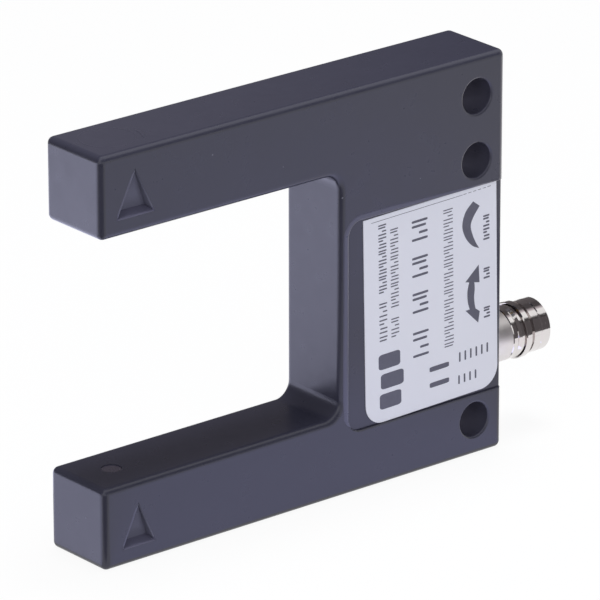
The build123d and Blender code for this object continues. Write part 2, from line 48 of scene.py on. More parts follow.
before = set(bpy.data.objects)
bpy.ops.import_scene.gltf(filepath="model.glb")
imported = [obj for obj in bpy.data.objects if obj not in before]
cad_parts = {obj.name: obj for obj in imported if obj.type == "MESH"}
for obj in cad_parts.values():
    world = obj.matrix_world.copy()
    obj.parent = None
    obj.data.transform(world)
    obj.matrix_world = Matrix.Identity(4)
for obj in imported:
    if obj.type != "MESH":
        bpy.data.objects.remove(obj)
CAD_LOW, CAD_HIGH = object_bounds()
BODY = "sensor_body"
MM = 0.001

# The label as the frame gives it: its outer face, its middle and the slight turn it was stuck on with
LABEL_LOW, LABEL_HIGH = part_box("label")
LABEL_TURN = math.radians(1.15)
LABEL_MIDDLE = (LABEL_LOW + LABEL_HIGH) / 2

# Where the connector's satin collar ends and its bright rings begin
SATIN_END = CAD_HIGH.x - 6.0 * MM

# Columns of plain bars in pairs, in millimetres from the label's middle: left, right, bar thickness, then
# runs of start, pitch and count from low to high
BAR_COLUMNS = (
    (-7.95, -6.75, 0.17, ((-2.95, 1.04, 5), (3.15, 0.8, 11))),
    (-6.15, -4.95, 0.15, ((-2.8, 0.9, 3), (0.95, 0.84, 12))),
    (-2.85, -0.45, 0.3, ((-6.4, 1.95, 2), (-0.75, 1.5, 2), (3.75, 1.5, 2), (8.25, 1.55, 2))),
    (2.0, 3.45, 0.13, ((-6.3, 0.84, 21),)),
    (8.15, 9.1, 0.22, ((5.75, 0.84, 4), (0.9, 0.78, 2), (-4.05, 0.78, 2))),
)

# The four kinds of bar pair: how far its bars stand from the pair's middle as a share of the pitch, and
# how long the lower and the upper bar are as a share of the column. Then the step from kind to kind along
# a column, and where in its pitch a pair's middle lies.
BAR_PAIRS = ((0.24, 1.0, 0.9), (0.2, 0.9, 1.0), (0.26, 1.0, 0.55), (0.22, 0.6, 1.0))
KIND_STEP, PAIR_PLACE = 7, 0.45

# Rows of upright strokes: left, foot, count and height. Both have the same pitch, width and rise.
STAMPED_ROWS = ((4.35, -7.95, 6, 1.2), (4.2, -10.8, 4, 1.1))
STROKE_PITCH, STROKE_WIDTH, STROKE_RISE = 0.86, 0.24, 0.02

# The fine cut line near the label's top: its middle, width and height, then the same of the first of the
# dashes it ends in, the way from dash to dash and their count
CUT_LINE = (-2.0, 12.3, 14.0, 0.06)
CUT_DASH, DASH_STEP, DASHES = (5.35, 12.32, 0.5, 0.06), (0.75, 0.01), 6

# How far the print reaches into the film, in millimetres, so that no edge of it hangs free
INK_SUNK = 0.01

# Plain fields of the label: middle, width and height
FIELDS = (
    (-6.4, -10.4, 3.3, 1.9),
    (-6.1, -7.9, 3.5, 1.9),
    (-6.5, -5.4, 3.3, 1.9),
    (1.15, -10.35, 3.0, 0.62),
    (1.15, -8.35, 3.0, 0.62),
)

# The setting symbols: a growing sweep for the sensitivity and a two-way arrow for the switch
SWEEP_OUTER = ((6.6, 11.1), (5.4, 10.0), (4.9, 8.4), (5.4, 6.8), (6.4, 5.6), (7.5, 5.0))
SWEEP_INNER = ((7.5, 5.0), (7.0, 5.8), (6.5, 6.9), (6.2, 8.1), (6.6, 9.1), (7.6, 10.3))
ARROW_INNER = ((6.7, 0.9), (6.75, 0.1), (6.65, -0.85), (6.7, -1.7), (6.85, -2.45))
ARROW_OUTER = ((5.95, -2.35), (5.7, -1.5), (5.6, -0.65), (5.65, 0.2), (5.9, 1.1))
ARROW_UP = ((5.3, 1.25), (7.4, 2.95), (7.5, 0.7))
ARROW_DOWN = ((7.5, -2.95), (7.25, -4.35), (5.3, -2.35))

# The coat's own build-up, in millimetres: across a lip and proud of the face it lies on. The label's
# recess has a soft rolled lip along its top and front edges, each beam mark has a small one, and the
# powder bridges the plug's seam and has smeared beside it, on a wider circle. The lips carry the coat
# painted this many times paler, a painted highlight. Along the recess's top the lip has a share of its
# size at each of these places.
RECESS_LIP = (
    (-0.72, -0.004),
    (-0.46, 0.016),
    (-0.3, 0.021),
    (-0.18, 0.017),
    (-0.05, 0.0),
    (0.05, -0.05),
    (0.13, -0.13),
    (0.19, -0.26),
    (0.21, -0.42),
    (-0.72, -0.42),
)
MARK_LIP = (
    (-0.3, -0.004), (-0.2, 0.01), (-0.1, 0.01), (0.0, -0.03), (0.07, -0.1), (0.09, -0.3), (-0.3, -0.3)
)
SEAM_BRIDGE = ((-0.17, -0.004), (-0.08, 0.004), (0.0, 0.006), (0.08, 0.004), (0.17, -0.004), (0.0, -0.02))
SMEAR = ((-0.3, -0.004), (-0.15, 0.012), (0.0, 0.018), (0.15, 0.012), (0.3, -0.004), (0.0, -0.02))
SMEAR_RADIUS = 4.1
LIP_HIGHLIGHT_PALENESS = 2.5
TOP_SHARES = ((24.7, 0.1), (20.0, 0.3), (14.0, 0.65), (8.0, 1.0))

# Where the casting has its features, in millimetres: the label's recess, the fixing holes with how far
# their bores reach from the axis, the axis of the light with the upper plug round it, and the foot, width
# and height of each beam mark with the height of its ledge and the depths within which the marks get
# painted light
RECESS_LEFT, RECESS_FOOT, RECESS_TOP, RECESS_RADIUS = 1.45, 7.65, 33.9, 2.0
HOLE_X, HOLE_HEIGHTS, HOLE_REACH = 21.0, (4.5, 37.1, 45.0), 2.22
BEAM_X, PLUG_RADIUS = -29.7, 3.3
MARKS = ((2.15, 4.6, 4.95), (42.15, 5.2, 5.3))
MARK_LEDGE, MARK_DEPTHS = 0.42, (-4.985, -3.3)

# Lint on the coat, in millimetres, each with the way it faces, and a fleck's least and most share of size
SPECKS = (
    ((-18.6, -5.0, 46.8), (0, -1, 0)),
    ((-8.3, -5.0, 43.0), (0, -1, 0)),
    ((0.5, -5.0, 37.2), (0, -1, 0)),
    ((12.3, -5.0, 36.9), (0, -1, 0)),
    ((-34.7, -1.6, 5.7), (-1, 0, 0)),
)
FLECK_SHARES = (0.6, 1.2)

# The softboxes: name, place in millimetres, width in metres and the setting that holds its power
SOFTBOXES = (
    ("overhead_softbox", (30, 20, 480), 0.16, "overhead"),
    ("side_softbox", (-480, -110, 110), 0.34, "side"),
    ("front_light", (-160, -520, 300), 0.5, "front"),
)

# What the studio's cards throw back: near black, three shades of its violet light and a pale one
DUSK = (1.0, 0.9, 0.94)
LAVENDER = (0.75, 0.76, 1.0)
LILAC = (0.69, 0.7, 1.0)
MAUVE = (0.92, 0.88, 1.0)
PEARL = (1.0, 0.97, 1.0)

# The cards that only gloss sees: name, corners in millimetres, level of light at each corner, colour, and
# True where the card is clear from behind
UNLIT = (0.06,) * 4
CARDS = (
    # Where the studio is dark: in front and above, behind, at the left, and low by the tips and back wall
    (
        "front_card",
        ((-900, -1000, 230), (1400, -1000, 230), (1400, -1000, 1500), (-900, -1000, 1500)),
        UNLIT,
        DUSK,
    ),
    (
        "back_card",
        ((-300, 260, 4), (620, 260, 4), (620, 260, 1000), (-300, 260, 1000)),
        (0.14, 0.14, 0.04, 0.04),
        DUSK,
    ),
    ("left_card", ((-560, -60, 4), (-560, -60, 1000), (-300, 260, 1000), (-300, 260, 4)), UNLIT, DUSK),
    ("floor_card", ((-35.5, -6.5, 0.3), (-420, -40, 0.3), (-300, -400, 0.3), (-50, -420, 0.3)), UNLIT, DUSK),
    ("gap_shade", ((2, 6, 0.2), (-34, 6, 0.2), (-34, 21, 0.2), (2, 21, 0.2)), UNLIT, DUSK),
    # The dark band round the plug and its dark top
    ("plug_card", ((32, -12, 9.9), (52, -12, 9.9), (52, -12, 21.9), (32, -12, 21.9)), (0.1,) * 4, DUSK),
    (
        "plug_roof_edge",
        ((50, -9, 60), (100, -9, 60), (100, 4, 60), (50, 4, 60)),
        (0.75, 0.75, 0.08, 0.08),
        DUSK,
    ),
    ("plug_roof", ((50, 4, 60), (100, 4, 60), (100, 30, 60), (50, 30, 60)), (0.08,) * 4, DUSK),
    # The lit floor that the back wall, the tips and the label face mirror, and the gleam on the top face
    (
        "back_glow",
        ((2, 21, 0.2), (-420, 21, 0.2), (-420, 139, 0.2), (2, 139, 0.2)),
        (2.3, 2.3, 5.8, 2.5),
        LAVENDER,
    ),
    (
        "tip_glow",
        ((-35.2, -4, 0.2), (-75, -4, 0.2), (-75, 21, 0.2), (-35.2, 21, 0.2)),
        (2.35, 2.35, 2.2, 2.2),
        LAVENDER,
    ),
    (
        "front_glow",
        ((-33.5, -5.4, 0.2), (26, -5.4, 0.2), (118, -116, 0.2), (42, -116, 0.2)),
        (1.75, 1.88, 1.62, 1.43),
        LILAC,
    ),
    ("top_glow", ((-44, 20, 50), (50, 20, 50), (50, 20, 84), (-44, 20, 84)), (0.33, 0.07, 0.06, 0.06), MAUVE),
    # The lit floor that lips and rims mirror where they turn to the right
    ("lip_glow", ((52, -18, 0.2), (170, -18, 0.2), (170, 14, 0.2), (52, 14, 0.2)), (2.4,) * 4, PEARL),
    ("rim_glow", ((56, -18, 0.2), (92, -62, 0.2), (200, -62, 0.2), (170, -18, 0.2)), (2.4,) * 4, PEARL),
    # What the plug's rings mirror low down and where they turn to the left
    ("plug_floor", ((28, -20, 0.3), (50, -20, 0.3), (62, -46, 0.3), (28, -46, 0.3)), (0.95,) * 4, PEARL),
    (
        "plug_screen",
        ((26.2, -42, 0), (26.2, -5.2, 0), (26.2, -5.2, 9.9), (26.2, -42, 9.9)),
        (1.0,) * 4,
        PEARL,
        True,
    ),
    (
        "plug_screen_high",
        ((26.2, -42, 9.9), (26.2, -5.2, 9.9), (26.2, -5.2, 30), (26.2, -42, 30)),
        (0.12,) * 4,
        DUSK,
        True,
    ),
    ("plug_ramp", ((33, -42, 0), (33, -5.2, 0), (28, -5.2, 9.9), (28, -42, 9.9)), (1.0,) * 4, PEARL, True),
)

# The camera, solved from the body's straight edges: its place in millimetres, and in degrees how far it is
# turned about the vertical, looks down and leans
CAMERA_PLACE = (-455.697, -548.973, 294.067)
CAMERA_TURN, CAMERA_DIP, CAMERA_LEAN = -39.59, 20.78, -0.06


def tint(code, amount=1.0):
    """Turns an sRGB hex value into the shader's linear colour, made darker or lighter by amount."""
    channels = [int(code[i : i + 2], 16) / 255 for i in (1, 3, 5)]
    linear = [c / 12.92 if c <= 0.04045 else ((c + 0.055) / 1.055) ** 2.4 for c in channels]
    return tuple(min(1.0, c * amount) for c in linear) + (1.0,)


def per(size_mm):
    """The pattern scale that gives features of this size in millimetres."""
    return 1000.0 / size_mm


def add(tree, kind, inputs=None, **settings):
    """Adds a node with its settings, and sets or links its inputs."""
    made = tree.nodes.new(kind)
    for name, value in settings.items():
        setattr(made, name, value)
    for socket, value in (inputs or {}).items():
        if isinstance(value, bpy.types.NodeSocket):
            tree.links.new(value, made.inputs[socket])
        else:
            made.inputs[socket].default_value = value
    return made


def finish(
    name, colour, roughness, metallic=0.0, mottle=(4.0, 0.05), haze=(1.5, 0.05), relief=(), **constants
):
    """Makes a finish whose colour drifts by mottle and gloss by haze, and whose skin has each relief.

    mottle and haze are a size in millimetres and an amount, and each relief is a size and a height in
    millimetres. It returns the material, its tree, its shader, the object coordinates and the colour.
    """
    material = bpy.data.materials.new(name)
    material.use_nodes = True
    tree = material.node_tree
    tree.nodes.clear()
    place = add(tree, "ShaderNodeTexCoord").outputs["Object"]
    cloud = add(tree, "ShaderNodeTexNoise", {"Vector": place, "Scale": per(mottle[0]), "Detail": 3.0})
    dark = [c * (1 - mottle[1]) for c in colour[:3]] + [1.0]
    light = [min(1.0, c * (1 + mottle[1])) for c in colour[:3]] + [1.0]
    tone = add(tree, "ShaderNodeMix", {0: cloud.outputs["Fac"], 6: dark, 7: light}, data_type="RGBA")
    sheen = add(tree, "ShaderNodeTexNoise", {"Vector": place, "Scale": per(haze[0]), "Detail": 2.0})
    gloss = add(
        tree,
        "ShaderNodeMapRange",
        {0: sheen.outputs["Fac"], 1: 0.3, 2: 0.7, 3: max(0.02, roughness - haze[1]), 4: roughness + haze[1]},
    )
    normal = None
    for size, height in relief:
        grain = add(tree, "ShaderNodeTexNoise", {"Vector": place, "Scale": per(size), "Detail": 2.0})
        links = {"Height": grain.outputs["Fac"], "Distance": height * MM}
        if normal:
            links["Normal"] = normal
        normal = add(tree, "ShaderNodeBump", links).outputs["Normal"]
    links = {"Base Color": tone.outputs[2], "Roughness": gloss.outputs[0], "Metallic": metallic, **constants}
    if normal:
        links["Normal"] = normal
    shader = add(tree, "ShaderNodeBsdfPrincipled", links)
    add(tree, "ShaderNodeOutputMaterial", {"Surface": shader.outputs[0]})
    return material, tree, shader, place, tone.outputs[2]


def rings(tree, shader, place, spacing, depth):
    """Adds fine turning marks across the X axis, along which every round part here was turned."""
    # At a scale of 1 a wave's bands lie a tenth of pi apart
    marks = add(
        tree,
        "ShaderNodeTexWave",
        {
            "Vector": place,
            "Scale": per(spacing) * math.pi / 10,
            "Distortion": 0.6,
            "Detail": 1.0,
            "Detail Scale": 2.0,
        },
        wave_type="BANDS",
        bands_direction="X",
    )
    bump = add(tree, "ShaderNodeBump", {"Height": marks.outputs["Fac"], "Distance": depth * MM})
    if shader.inputs["Normal"].links:
        tree.links.new(shader.inputs["Normal"].links[0].from_socket, bump.inputs["Normal"])
    tree.links.new(bump.outputs[0], shader.inputs["Normal"])


def within(tree, *spans):
    """One inside a box, each side of which is given by a value and its lowest and highest millimetre."""
    share = None
    for value, low, high in spans:
        inputs = {0: value, 1: (low + high) / 2 * MM, 2: (high - low) / 2 * MM}
        near = add(tree, "ShaderNodeMath", inputs, operation="COMPARE").outputs[0]
        if share:
            near = add(tree, "ShaderNodeMath", {0: share, 1: near}, operation="MULTIPLY").outputs[0]
        share = near
    return share


def painted_pocket_light(tree, shader, place, colour, apex_painted_light, dust, ledge_painted_light, bore_painted_light):
    """Paints light on both beam marks' floors, less at the apex, and on their ledges and deep in the bores.
    """
    x, y, z = add(tree, "ShaderNodeSeparateXYZ", {0: place}).outputs
    flat = add(tree, "ShaderNodeCombineXYZ", {0: x, 2: z}).outputs[0]
    bored = None
    for height in HOLE_HEIGHTS:
        axis = (HOLE_X * MM, 0, height * MM)
        away = add(tree, "ShaderNodeVectorMath", {0: flat, 1: axis}, operation="DISTANCE").outputs["Value"]
        near = add(tree, "ShaderNodeMath", {0: away, 1: HOLE_REACH * MM}, operation="LESS_THAN").outputs[0]
        if bored:
            near = add(tree, "ShaderNodeMath", {0: bored, 1: near}, operation="MAXIMUM").outputs[0]
        bored = near
    # Painted light in the bores, stronger deeper in
    deep = add(tree, "ShaderNodeMapRange", {0: y, 1: -5 * MM, 2: -1 * MM, 3: 0.1, 4: 1.0}).outputs[0]
    share = add(tree, "ShaderNodeMath", {0: bored, 1: deep}, operation="MULTIPLY").outputs[0]
    colour = add(tree, "ShaderNodeMix", {0: share, 6: colour, 7: bore_painted_light}, data_type="RGBA").outputs[2]
    dull = None
    for foot, width, height in MARKS:
        sides = ((x, BEAM_X - width / 2 - 0.2, BEAM_X + width / 2 + 0.2), (y, *MARK_DEPTHS))
        floor = within(tree, *sides, (z, foot + MARK_LEDGE, foot + height + 0.3))
        ledge = within(tree, *sides, (z, foot - 0.2, foot + MARK_LEDGE))
        # Painted light on the floor, lighter towards its base than at the apex, and a lighter painted ledge
        span = {0: z, 1: (foot + height) * MM, 2: foot * MM, 3: 0.0, 4: 1.0}
        fall = add(tree, "ShaderNodeMapRange", span).outputs[0]
        laid = add(tree, "ShaderNodeMix", {0: fall, 6: apex_painted_light, 7: dust}, data_type="RGBA").outputs[2]
        colour = add(tree, "ShaderNodeMix", {0: floor, 6: colour, 7: laid}, data_type="RGBA").outputs[2]
        colour = add(tree, "ShaderNodeMix", {0: ledge, 6: colour, 7: ledge_painted_light}, data_type="RGBA").outputs[2]
        both = add(tree, "ShaderNodeMath", {0: floor, 1: ledge}, operation="ADD").outputs[0]
        dull = add(tree, "ShaderNodeMath", {0: dull, 1: both}, operation="ADD").outputs[0] if dull else both
    gloss = add(tree, "ShaderNodeMapRange", {0: dull, 1: 0.0, 2: 1.0, 3: 0.5, 4: 0.12}).outputs[0]
    tree.links.new(gloss, shader.inputs["Specular IOR Level"])
    tree.links.new(colour, shader.inputs["Base Color"])


def wear(material, *nodes):
    """Gives carried-over nodes their finish."""
    for node in nodes:
        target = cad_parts[node]
        for slot in target.material_slots:
            slot.material = material
        if not target.material_slots:
            target.data.materials.append(material)


def new_piece(name, mesh, material):
    """Puts a finished mesh in the scene as a piece that goes with the sensor's body."""
    piece = bpy.data.objects.new(name, mesh)
    bpy.context.scene.collection.objects.link(piece)
    piece.data.materials.clear()
    piece.data.materials.append(material)
    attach(piece, BODY)


def bead(name, stations, profile, around=False):
    """A closed band of coat along stations: each a point, the ways across and out and a share of size."""
    form = bmesh.new()
    loops = []
    for point, across, out, share in stations:
        loops.append([form.verts.new((point + (across * u + out * h) * share) * MM) for u, h in profile])
    count = len(profile)
    for low, high in zip(loops, loops[1:] + loops[:1] if around else loops[1:]):
        for i in range(count):
            j = (i + 1) % count
            form.faces.new((low[i], low[j], high[j], high[i])).smooth = True
    if not around:
        form.faces.new(loops[0])
        form.faces.new(loops[-1])
    bmesh.ops.recalc_face_normals(form, faces=form.faces[:])
    mesh = bpy.data.meshes.new(name)
    form.to_mesh(mesh)
    form.free()
    return mesh


def recess_stations():
    """Along the label recess: its top, ever fuller from the rear, the round corner and the front edge."""
    out = Vector((0, -1, 0))
    face = CAD_LOW.y / MM
    stations = []
    for x, share in TOP_SHARES:
        stations.append((Vector((x, face, RECESS_TOP)), Vector((0, 0, -1)), out, share))
    for middle, first, last, least in (
        (RECESS_TOP - RECESS_RADIUS, 90, 180, 1.0),
        (RECESS_FOOT + RECESS_RADIUS, 180, 215, 0.1),
    ):
        for i in range(13):
            angle = math.radians(first + (last - first) * i / 12)
            ray = Vector((math.cos(angle), 0, math.sin(angle)))
            centre = Vector((RECESS_LEFT + RECESS_RADIUS, face, middle))
            stations.append((centre + ray * RECESS_RADIUS, -ray, out, 1 + (least - 1) * i / 12))
    return stations


def mark_stations(foot, width, height):
    """Along the front flank of a beam mark, from its base to its apex."""
    start = Vector((BEAM_X - width / 2, CAD_LOW.y / MM, foot))
    run = Vector((width / 2, 0, height))
    across = Vector((height, 0, -width / 2)).normalized()
    out = Vector((0, -1, 0))
    shares = ((0.02, 0.3), (0.1, 1.0), (0.9, 1.0), (1.0, 0.3))
    return [(start + run * at, across, out, share) for at, share in shares]


def plug_stations(radius, first, last, count, fade):
    """Round the plug in the top face, over the given angles."""
    stations = []
    for i in range(count):
        angle = math.radians(first + (last - first) * i / count)
        ray = Vector((math.cos(angle), math.sin(angle), 0))
        share = min(1.0, 0.15 + 4 * i / count, 0.15 + 4 * (count - 1 - i) / count) if fade else 1.0
        stations.append((Vector((BEAM_X, 0, CAD_HIGH.z / MM)) + ray * radius, ray, Vector((0, 0, 1)), share))
    return stations


def on_label():
    """The place of the label's outer face: across it, up it and out of it, in millimetres from its middle."""
    c, s = math.cos(LABEL_TURN), math.sin(LABEL_TURN)
    turn = Matrix(((c, -s, 0, 0), (0, 0, -1, 0), (s, c, 0, 0), (0, 0, 0, 1)))
    origin = Matrix.Translation((LABEL_MIDDLE.x, LABEL_LOW.y, LABEL_MIDDLE.z))
    return origin @ turn @ Matrix.Scale(MM, 4)


def smooth_line(points, steps=7):
    """Runs a smooth line through the points."""
    inner = [Vector(p) for p in points]
    ends = [2 * inner[0] - inner[1], *inner, 2 * inner[-1] - inner[-2]]
    line = []
    for a, b, c, d in zip(ends, ends[1:], ends[2:], ends[3:]):
        bend, twist = 2 * a - 5 * b + 4 * c - d, 3 * b - a - 3 * c + d
        for i in range(steps):
            t = i / steps
            line.append(0.5 * (2 * b + (c - a) * t + bend * t**2 + twist * t**3))
    return line + [ends[-2]]


def slab(outline, low, high):
    """A closed flat shape between two heights."""
    mesh = bpy.data.meshes.new("slab")
    form = bmesh.new()
    floors = [[form.verts.new((p[0], p[1], h)) for p in outline] for h in (low, high)]
    form.faces.new(floors[0])
    form.faces.new(floors[1])
    count = len(outline)
    for i in range(count):
        j = (i + 1) % count
        form.faces.new((floors[0][i], floors[0][j], floors[1][j], floors[1][i]))
    bmesh.ops.triangulate(form, faces=form.faces[:])
    bmesh.ops.recalc_face_normals(form, faces=form.faces[:])
    form.to_mesh(mesh)
    form.free()
    return mesh


def block_tree():
    """The tree that lays a small rounded block on every point, as large as the point's own size says."""
    tree = bpy.data.node_groups.new("Printed blocks", "GeometryNodeTree")
    face = tree.interface
    face.new_socket("Geometry", in_out="INPUT", socket_type="NodeSocketGeometry")
    face.new_socket("Ink Height", in_out="INPUT", socket_type="NodeSocketFloat")
    face.new_socket("Sunk", in_out="INPUT", socket_type="NodeSocketFloat")
    face.new_socket("Corner", in_out="INPUT", socket_type="NodeSocketFloat")
    face.new_socket("Ink", in_out="INPUT", socket_type="NodeSocketMaterial")
    face.new_socket("Geometry", in_out="OUTPUT", socket_type="NodeSocketGeometry")
    given = add(tree, "NodeGroupInput")
    outline = add(tree, "GeometryNodeCurvePrimitiveQuadrilateral", {"Width": 1.0, "Height": 1.0})
    corners = add(
        tree,
        "GeometryNodeFilletCurve",
        {"Curve": outline.outputs[0], "Radius": given.outputs["Corner"], "Count": 3, "Limit Radius": True},
        mode="POLY",
    )
    flat = add(tree, "GeometryNodeFillCurve", {"Curve": corners.outputs[0]}, mode="NGONS")
    depth = add(
        tree, "ShaderNodeMath", {0: given.outputs["Ink Height"], 1: given.outputs["Sunk"]}, operation="ADD"
    )
    raised = add(
        tree,
        "GeometryNodeExtrudeMesh",
        {"Mesh": flat.outputs[0], "Offset Scale": depth.outputs[0], "Individual": False},
        mode="FACES",
    )
    under = add(tree, "GeometryNodeFlipFaces", {"Mesh": flat.outputs[0]})
    whole = add(tree, "GeometryNodeJoinGeometry")
    tree.links.new(raised.outputs[0], whole.inputs[0])
    tree.links.new(under.outputs[0], whole.inputs[0])
    sealed = add(tree, "GeometryNodeMergeByDistance", {"Geometry": whole.outputs[0], "Distance": 0.0005})
    down = add(tree, "ShaderNodeMath", {0: given.outputs["Sunk"], 1: -1.0}, operation="MULTIPLY")
    drop = add(tree, "ShaderNodeCombineXYZ", {"Z": down.outputs[0]})
    block = add(
        tree, "GeometryNodeTransform", {"Geometry": sealed.outputs[0], "Translation": drop.outputs[0]}
    )
    size = add(tree, "GeometryNodeInputNamedAttribute", {"Name": "block_size"}, data_type="FLOAT_VECTOR")
    spread = add(
        tree,
        "GeometryNodeInstanceOnPoints",
        {"Points": given.outputs["Geometry"], "Instance": block.outputs[0], "Scale": size.outputs[0]},
    )
    real = add(tree, "GeometryNodeRealizeInstances", {"Geometry": spread.outputs[0]})
    inked = add(
        tree, "GeometryNodeSetMaterial", {"Geometry": real.outputs[0], "Material": given.outputs["Ink"]}
    )
    add(tree, "NodeGroupOutput", {"Geometry": inked.outputs[0]})
    return tree


def grown(name, points, attribute, values, tree, inputs):
    """Runs a tree on bare points that carry an attribute, and returns what it makes as a plain mesh."""
    seed = bpy.data.meshes.new(name + "_points")
    seed.from_pydata(points, [], [])
    carried = seed.attributes.new(attribute, "FLOAT_VECTOR", "POINT")
    carried.data.foreach_set("vector", [c for v in values for c in v])
    carrier = bpy.data.objects.new(name + "_points", seed)
    bpy.context.scene.collection.objects.link(carrier)
    modifier = carrier.modifiers.new("Grow", "NODES")
    modifier.node_group = tree
    for item in tree.interface.items_tree:
        if item.in_out == "INPUT" and item.name in inputs:
            modifier[item.identifier] = inputs[item.name]
    evaluated = carrier.evaluated_get(bpy.context.evaluated_depsgraph_get())
    mesh = bpy.data.meshes.new_from_object(evaluated)
    mesh.name = name
    carrier.modifiers.clear()
    bpy.data.objects.remove(carrier)
    return mesh


def column_blocks():
    """Middle and size of every printed bar and field, in millimetres on the label."""
    blocks = list(FIELDS)
    for left, right, thick, runs in BAR_COLUMNS:
        for start, pitch, count in runs:
            for i in range(count):
                spread, low, high = BAR_PAIRS[(i * KIND_STEP + count) % len(BAR_PAIRS)]
                spread *= pitch
                for side, share in ((-1, low), (1, high)):
                    wide = (right - left) * share
                    shift = side * ((right - left) - wide) / 2
                    middle = start + pitch * (i + PAIR_PLACE) + side * spread
                    blocks.append(((left + right) / 2 + shift, middle, wide, thick))
    for left, foot, count, tall in STAMPED_ROWS:
        for i in range(count):
            blocks.append((left + STROKE_PITCH * i, foot + STROKE_RISE * i, STROKE_WIDTH, tall))
    return blocks


def cut_line_blocks():
    """The fine cut line along the label's upper edge, broken towards the rear."""
    u, v, wide, tall = CUT_DASH
    return [CUT_LINE] + [(u + DASH_STEP[0] * i, v + DASH_STEP[1] * i, wide, tall) for i in range(DASHES)]


def speck_tree():
    """The tree that drops one fleck of lint on every point, each a little different."""
    tree = bpy.data.node_groups.new("Lint specks", "GeometryNodeTree")
    face = tree.interface
    face.new_socket("Geometry", in_out="INPUT", socket_type="NodeSocketGeometry")
    face.new_socket("Fleck Size", in_out="INPUT", socket_type="NodeSocketFloat")
    face.new_socket("Seed", in_out="INPUT", socket_type="NodeSocketInt")
    face.new_socket("Lint", in_out="INPUT", socket_type="NodeSocketMaterial")
    face.new_socket("Geometry", in_out="OUTPUT", socket_type="NodeSocketGeometry")
    given = add(tree, "NodeGroupInput")
    ball = add(tree, "GeometryNodeMeshIcoSphere", {"Radius": 0.5, "Subdivisions": 2})
    flake = add(tree, "GeometryNodeTransform", {"Geometry": ball.outputs[0], "Scale": (1.0, 0.7, 0.3)})
    facing = add(tree, "GeometryNodeInputNamedAttribute", {"Name": "facing"}, data_type="FLOAT_VECTOR")
    laid = add(tree, "FunctionNodeAlignRotationToVector", {"Vector": facing.outputs[0]}, axis="Z")
    least, most = (
        add(
            tree, "ShaderNodeMath", {0: given.outputs["Fleck Size"], 1: share}, operation="MULTIPLY"
        ).outputs[0]
        for share in FLECK_SHARES
    )
    bounds = {2: least, 3: most, "Seed": given.outputs["Seed"]}
    size = add(tree, "FunctionNodeRandomValue", bounds, data_type="FLOAT")
    spread = add(
        tree,
        "GeometryNodeInstanceOnPoints",
        {
            "Points": given.outputs["Geometry"],
            "Instance": flake.outputs[0],
            "Rotation": laid.outputs[0],
            "Scale": size.outputs[1],
        },
    )
    real = add(tree, "GeometryNodeRealizeInstances", {"Geometry": spread.outputs[0]})
    coloured = add(
        tree, "GeometryNodeSetMaterial", {"Geometry": real.outputs[0], "Material": given.outputs["Lint"]}
    )
    add(tree, "NodeGroupOutput", {"Geometry": coloured.outputs[0]})
    return tree


class CoatSettings(bpy.types.PropertyGroup):
    colour: bpy.props.FloatVectorProperty(
        name="Coat colour",
        description="Colour of the coat on the housing, its cover and its plugs",
        default=tint("#323240"),
        size=4,
        min=0.0,
        max=1.0,
        subtype="COLOR",
    )
    roughness: bpy.props.FloatProperty(
        name="Coat roughness",
        description="How matt the coat is, from a mirror to chalk",
        default=0.3,
        min=0.0,
        max=1.0,
        subtype="FACTOR",
    )


class LabelSettings(bpy.types.PropertyGroup):
    film: bpy.props.FloatVectorProperty(
        name="Film colour",
        description="Colour of the label's film",
        default=tint("#F1F2FE"),
        size=4,
        min=0.0,
        max=1.0,
        subtype="COLOR",
    )
    ink: bpy.props.FloatVectorProperty(
        name="Ink colour",
        description="Colour of the shapes printed on the label",
        default=tint("#5B5B69"),
        size=4,
        min=0.0,
        max=1.0,
        subtype="COLOR",
    )
    ink_height: bpy.props.FloatProperty(
        name="Ink height",
        description="How far the ink stands proud of the film",
        default=0.012 * MM,
        min=0.0,
        max=0.1 * MM,
        unit="LENGTH",
        subtype="DISTANCE",
    )


class ConnectorSettings(bpy.types.PropertyGroup):
    plate: bpy.props.FloatVectorProperty(
        name="Plate colour",
        description="Colour of the nickel plate on the connector",
        default=tint("#DEDAD9"),
        size=4,
        min=0.0,
        max=1.0,
        subtype="COLOR",
    )
    roughness: bpy.props.FloatProperty(
        name="Plate roughness",
        description="How dull the nickel plate is",
        default=0.1,
        min=0.0,
        max=1.0,
        subtype="FACTOR",
    )


class DustSettings(bpy.types.PropertyGroup):
    size: bpy.props.FloatProperty(
        name="Fleck size",
        description="Width of a fleck of lint",
        default=0.22 * MM,
        min=0.0,
        max=1.0 * MM,
        unit="LENGTH",
        subtype="DISTANCE",
    )
    seed: bpy.props.IntProperty(
        name="Seed", description="Which flecks are large and which are small", default=4, min=0
    )


class StudioSettings(bpy.types.PropertyGroup):
    overhead: bpy.props.FloatProperty(
        name="Overhead light", description="Power of the softbox above", default=1.9, min=0.0, unit="POWER"
    )
    side: bpy.props.FloatProperty(
        name="Side light",
        description="Power of the softbox at the arm tips",
        default=0.7,
        min=0.0,
        unit="POWER",
    )
    front: bpy.props.FloatProperty(
        name="Front light",
        description="Power of the large soft light in front",
        default=1.2,
        min=0.0,
        unit="POWER",
    )
    fill: bpy.props.FloatProperty(
        name="Fill",
        description="Strength of the light that comes from all around",
        default=0.35,
        min=0.0,
        max=1.0,
    )
    lens: bpy.props.FloatProperty(
        name="Focal length",
        description="Focal length of the camera, in millimetres",
        default=394.02,
        min=1.0,
        unit="CAMERA",
    )


